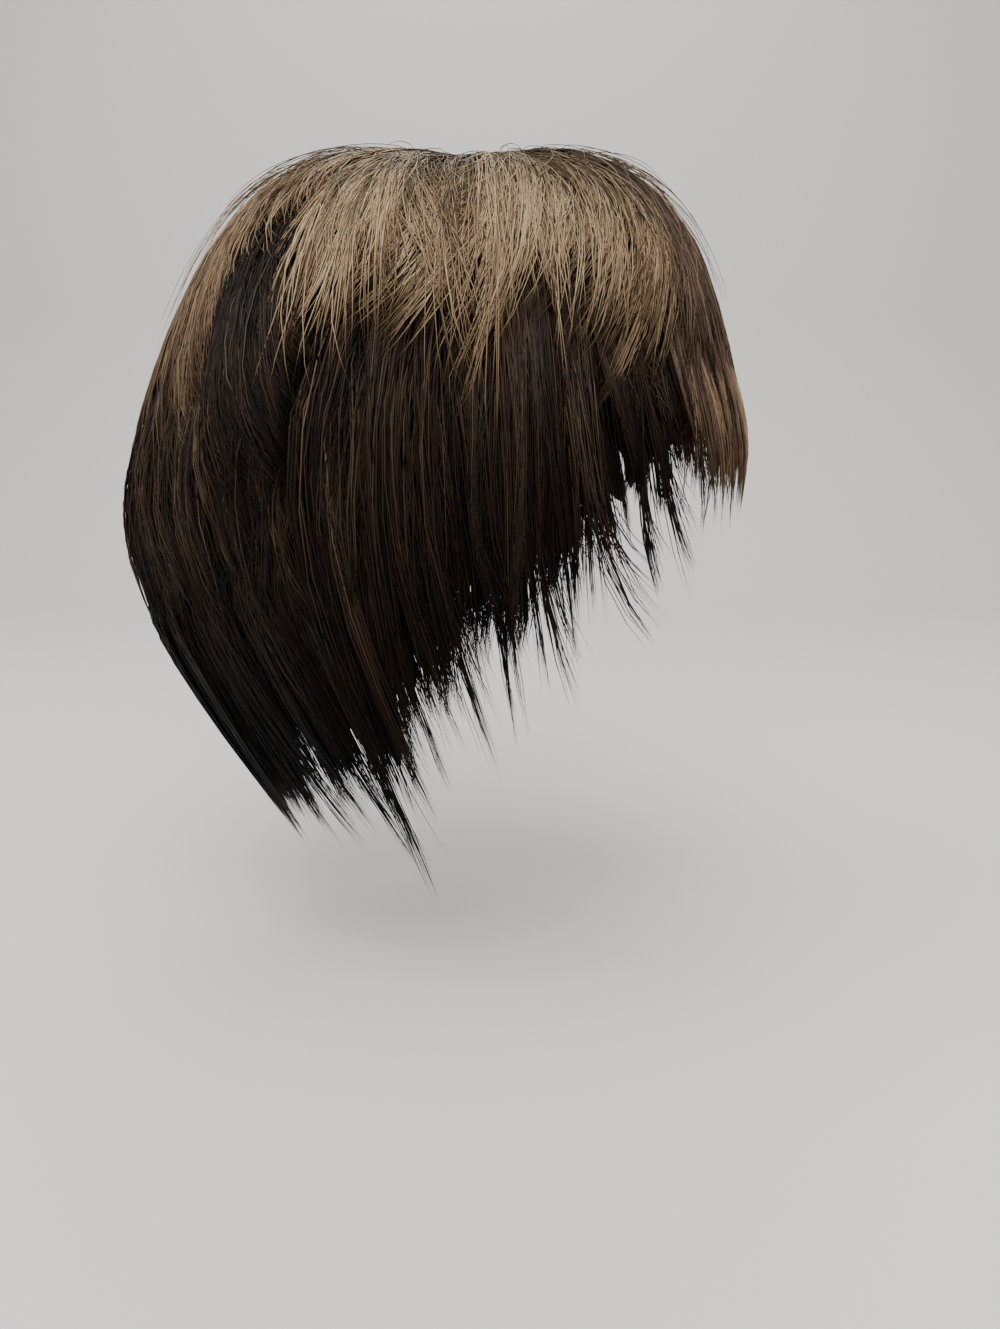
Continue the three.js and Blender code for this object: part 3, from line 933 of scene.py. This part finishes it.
class WigColours(PropertyGroup):
    """Colours of the fibres, from the darkest to the lightest, and of the net."""
    shade: FloatVectorProperty(
        name="Shade", description="Darkest brown, of the nape", subtype="COLOR",
        size=3, min=0, max=1, default=linear("#120e0a"),
    )
    dark: FloatVectorProperty(
        name="Dark brown", description="Brown of the sides", subtype="COLOR",
        size=3, min=0, max=1, default=linear("#2b2119"),
    )
    brown: FloatVectorProperty(
        name="Brown", description="Brown of the fringe", subtype="COLOR",
        size=3, min=0, max=1, default=linear("#574639"),
    )
    bronze: FloatVectorProperty(
        name="Bronze", description="Middle tone of the frosted crown", subtype="COLOR",
        size=3, min=0, max=1, default=linear("#897156"),
    )
    gold: FloatVectorProperty(
        name="Gold", description="Lightest tone of the frosted crown", subtype="COLOR",
        size=3, min=0, max=1, default=linear("#ac9676"),
    )
    net: FloatVectorProperty(
        name="Net", description="Brown of the cap's net", subtype="COLOR",
        size=3, min=0, max=1, default=linear("#2a231e"),
    )


def grow_layer(context, name):
    """Builds one layer: its fibres and the flat locks behind them, joined in one mesh."""
    layer = LAYERS[name]
    sizes = context.scene.wig_sizes
    rng = np.random.default_rng(layer.seed)
    locks = fibre_paths(layer, lock_guides(layer, rng), layer.fibres, rng)
    wisps = fibre_paths(layer, wisp_guides(layer, rng), layer.wisps[1], rng)
    parts = [
        hair(paths, sizes.fibre, ROUND, FIBRE_SIDES, TONE_STRIP, layer.hold, layer.lift)
        for paths in (locks, wisps)
    ]
    flat_width = layer.broad * sizes.lock
    parts.append(hair(lock_paths(layer, rng), flat_width, FLAT_DEPTH, LOCK_SIDES, LOCK_STRIP))
    if layer.slot == "hair_light":
        thin = FLYAWAY_WIDTH * sizes.fibre
        parts.append(hair(flyaway_paths(layer, rng), thin, ROUND, FIBRE_SIDES, TONE_STRIP))
    finish = FINISHES[layer.slot]
    material = bpy.data.materials.get(finish.name)
    if material is None:
        material = drawn_fibre(finish, context.scene.wig_colours)
    dress(add_mesh(name, parts, material), layer.node)


def shell_sheet(turns, shares, offset):
    """Points of the cap at an offset, a row for each share of the way to its edge."""
    degrees, _ = from_face(turns)
    edge = np.interp(degrees, CAP_EDGE[:, 0], CAP_EDGE[:, 1])
    station = shares[:, None] * edge[None, :]
    share = np.zeros_like(station)
    return form(np.broadcast_to(turns, station.shape), station, share, offset - SEAT) * MM


class BuildCap(Operator):
    """Builds the net cap: an outer and an inner sheet with a round edge, closed at the crown"""
    bl_idname = "wig.build_cap"
    bl_label = "Cap"

    columns = 96
    rows = 24

    def execute(self, context):
        turns = np.arange(self.columns) / self.columns * 360
        shares = np.linspace(0, 1, self.rows + 1)[1:]
        outer = shell_sheet(turns, shares, CAP_WALL)
        inner = shell_sheet(turns, shares[::-1], 0.0)
        rows = np.concatenate([outer, inner])
        poles = np.array([(0, 0, CAP_WALL), (0, 0, 0)]) * MM
        vertices = np.concatenate([rows.reshape(-1, 3), poles])
        count = len(rows)
        i = np.arange(count - 1)[:, None] * self.columns
        j = np.arange(self.columns)[None, :]
        k = (j + 1) % self.columns
        following = i + self.columns
        quads = np.stack([i + j, following + j, following + k, i + k], axis=-1).reshape(-1, 4)
        j, k = j[0], k[0]
        top = np.stack([j, k, np.full_like(j, len(vertices) - 2)], axis=-1)
        last = (count - 1) * self.columns
        below = np.stack([last + k, last + j, np.full_like(j, len(vertices) - 1)], axis=-1)
        faces = [quads, top, below]
        maps = [vertices[f][..., :2] / CAP_CHART + 0.5 for f in faces]
        piece = add_mesh("cap_net", [(vertices, faces, maps)], knitted_net(context.scene.wig_colours))
        dress(piece, "cap")
        return {"FINISHED"}


CROWN_PIECES = (
    "crown_fibres_front", "crown_fibres_back", "pocket_fibres_right", "pocket_fibres_left",
)


class GrowCrown(Operator):
    """Grows the frosted crown layer: its front half, its back half and the dark pockets"""
    bl_idname = "wig.grow_crown"
    bl_label = "Crown layer"

    def execute(self, context):
        for name in CROWN_PIECES:
            grow_layer(context, name)
        return {"FINISHED"}


class GrowFringe(Operator):
    """Grows the ragged fringe over the forehead"""
    bl_idname = "wig.grow_fringe"
    bl_label = "Fringe"

    def execute(self, context):
        grow_layer(context, "fringe_fibres")
        return {"FINISHED"}


class GrowSides(Operator):
    """Grows the dark locks in front of and over both ears"""
    bl_idname = "wig.grow_sides"
    bl_label = "Side layers"

    def execute(self, context):
        for name in ("side_fibres_right", "side_fibres_left"):
            grow_layer(context, name)
        return {"FINISHED"}


class GrowBack(Operator):
    """Grows the upper back layer"""
    bl_idname = "wig.grow_back"
    bl_label = "Back layer"

    def execute(self, context):
        grow_layer(context, "back_fibres")
        return {"FINISHED"}


class GrowNape(Operator):
    """Grows the long tapered layer at the nape"""
    bl_idname = "wig.grow_nape"
    bl_label = "Nape layer"

    def execute(self, context):
        grow_layer(context, "nape_fibres")
        return {"FINISHED"}


# The floor's level and the camera's place in metres, and its focal length in pixels of the image.
FLOOR_LEVEL = -0.280
CAMERA_PLACE = (0.0105, -0.421, -0.0906)
CAMERA_TILT = math.radians(-11.8)
IMAGE_HEIGHT = 1329
FOCAL_PIXELS = 1120
SENSOR = 36.0


class SetStage(Operator):
    """Sets the pale floor and backdrop, the soft lights and the camera"""
    bl_idname = "wig.set_stage"
    bl_label = "Stage"

    def execute(self, context):
        self.lay_floor()
        self.hang_lights()
        self.place_camera()
        return {"FINISHED"}

    def lay_floor(self):
        """A flat floor that turns up into a wall along a quarter circle, swept across X."""
        near = -2.0
        back = 0.75
        bend = 0.35
        top = 2.5
        sides = (-2.5, 2.5)
        turn = np.linspace(0, math.pi / 2, 17)
        y = np.concatenate([[near], back + bend * np.sin(turn), [back + bend]])
        z = np.concatenate([[0.0], bend - bend * np.cos(turn), [top]]) + FLOOR_LEVEL
        vertices = np.concatenate([np.stack([np.full_like(y, x), y, z], axis=-1) for x in sides])
        i = np.arange(len(y) - 1)
        quads = np.stack([i, i + len(y), i + len(y) + 1, i + 1], axis=-1)
        maps = vertices[quads][..., :2]
        material = bpy.data.materials.new("painted studio sweep")
        material.use_nodes = True
        shader = material.node_tree.nodes["Principled BSDF"]
        shader.inputs["Base Color"].default_value = (*linear("#c9c7c4"), 1)
        shader.inputs["Roughness"].default_value = 0.9
        add_mesh("stage_sweep", [(vertices, [quads], [maps])], material)

    def hang_lights(self):
        """Large soft lights overhead and on all four sides, aimed at the hair, and a dim surround."""
        # Columns: name, place and width in metres, power in watts.
        lights = (
            ("overhead", (-0.1, -0.25, 0.95), 1.1, 13.0),
            ("near_side", (0.0, -1.1, 0.75), 1.1, 19.0),
            ("far_side", (0.0, 0.9, 0.8), 0.9, 8.0),
            ("front", (1.0, -0.1, 0.5), 0.9, 6.0),
            ("rear", (-1.0, -0.1, 0.5), 0.9, 6.0),
        )
        target = np.array((0.0, 0.0, -0.08))
        for name, place, size, power in lights:
            data = bpy.data.lights.new(name, "AREA")
            data.shape = "DISK"
            data.size = size
            data.energy = power
            light = bpy.data.objects.new(name, data)
            light.location = place
            way = Vector(target - np.array(place))
            light.rotation_euler = way.to_track_quat("-Z", "Y").to_euler()
            bpy.context.collection.objects.link(light)
        world = bpy.data.worlds.new("dim surround")
        world.use_nodes = True
        ground = world.node_tree.nodes["Background"]
        ground.inputs["Color"].default_value = (*linear("#e6e8ec"), 1)
        ground.inputs["Strength"].default_value = 0.38
        bpy.context.scene.world = world

    def place_camera(self):
        """A camera at the viewing angle: focal length from pixels of the image's long side."""
        data = bpy.data.cameras.new("camera")
        data.sensor_width = SENSOR
        data.lens = SENSOR * FOCAL_PIXELS / IMAGE_HEIGHT
        camera = bpy.data.objects.new("camera", data)
        camera.location = CAMERA_PLACE
        camera.rotation_euler = (math.pi / 2 + CAMERA_TILT, 0, 0)
        bpy.context.collection.objects.link(camera)
        bpy.context.scene.camera = camera


STEPS = (BuildCap, GrowCrown, GrowFringe, GrowSides, GrowBack, GrowNape, SetStage)


class WigPanel(Panel):
    """Lists the wig's sizes, colours and building steps"""
    bl_idname = "VIEW3D_PT_wig"
    bl_label = "Layered synthetic wig"
    bl_space_type = "VIEW_3D"
    bl_region_type = "UI"
    bl_category = "Wig"

    def draw(self, context):
        for group in (context.scene.wig_sizes, context.scene.wig_colours):
            box = self.layout.box()
            for name in group.__annotations__:
                box.prop(group, name)
        for step in STEPS:
            self.layout.operator(step.bl_idname)


CLASSES = (WigSizes, WigColours, *STEPS, WigPanel)


def register():
    for item in CLASSES:
        bpy.utils.register_class(item)
    bpy.types.Scene.wig_sizes = PointerProperty(type=WigSizes)
    bpy.types.Scene.wig_colours = PointerProperty(type=WigColours)


def unregister():
    del bpy.types.Scene.wig_colours
    del bpy.types.Scene.wig_sizes
    for item in reversed(CLASSES):
        bpy.utils.unregister_class(item)


def main():
    """Builds the wig and its stage."""
    register()
    bpy.ops.wig.build_cap()
    bpy.ops.wig.grow_crown()
    bpy.ops.wig.grow_fringe()
    bpy.ops.wig.grow_sides()
    bpy.ops.wig.grow_back()
    bpy.ops.wig.grow_nape()
    bpy.ops.wig.set_stage()


if __name__ == "__main__":
    main()
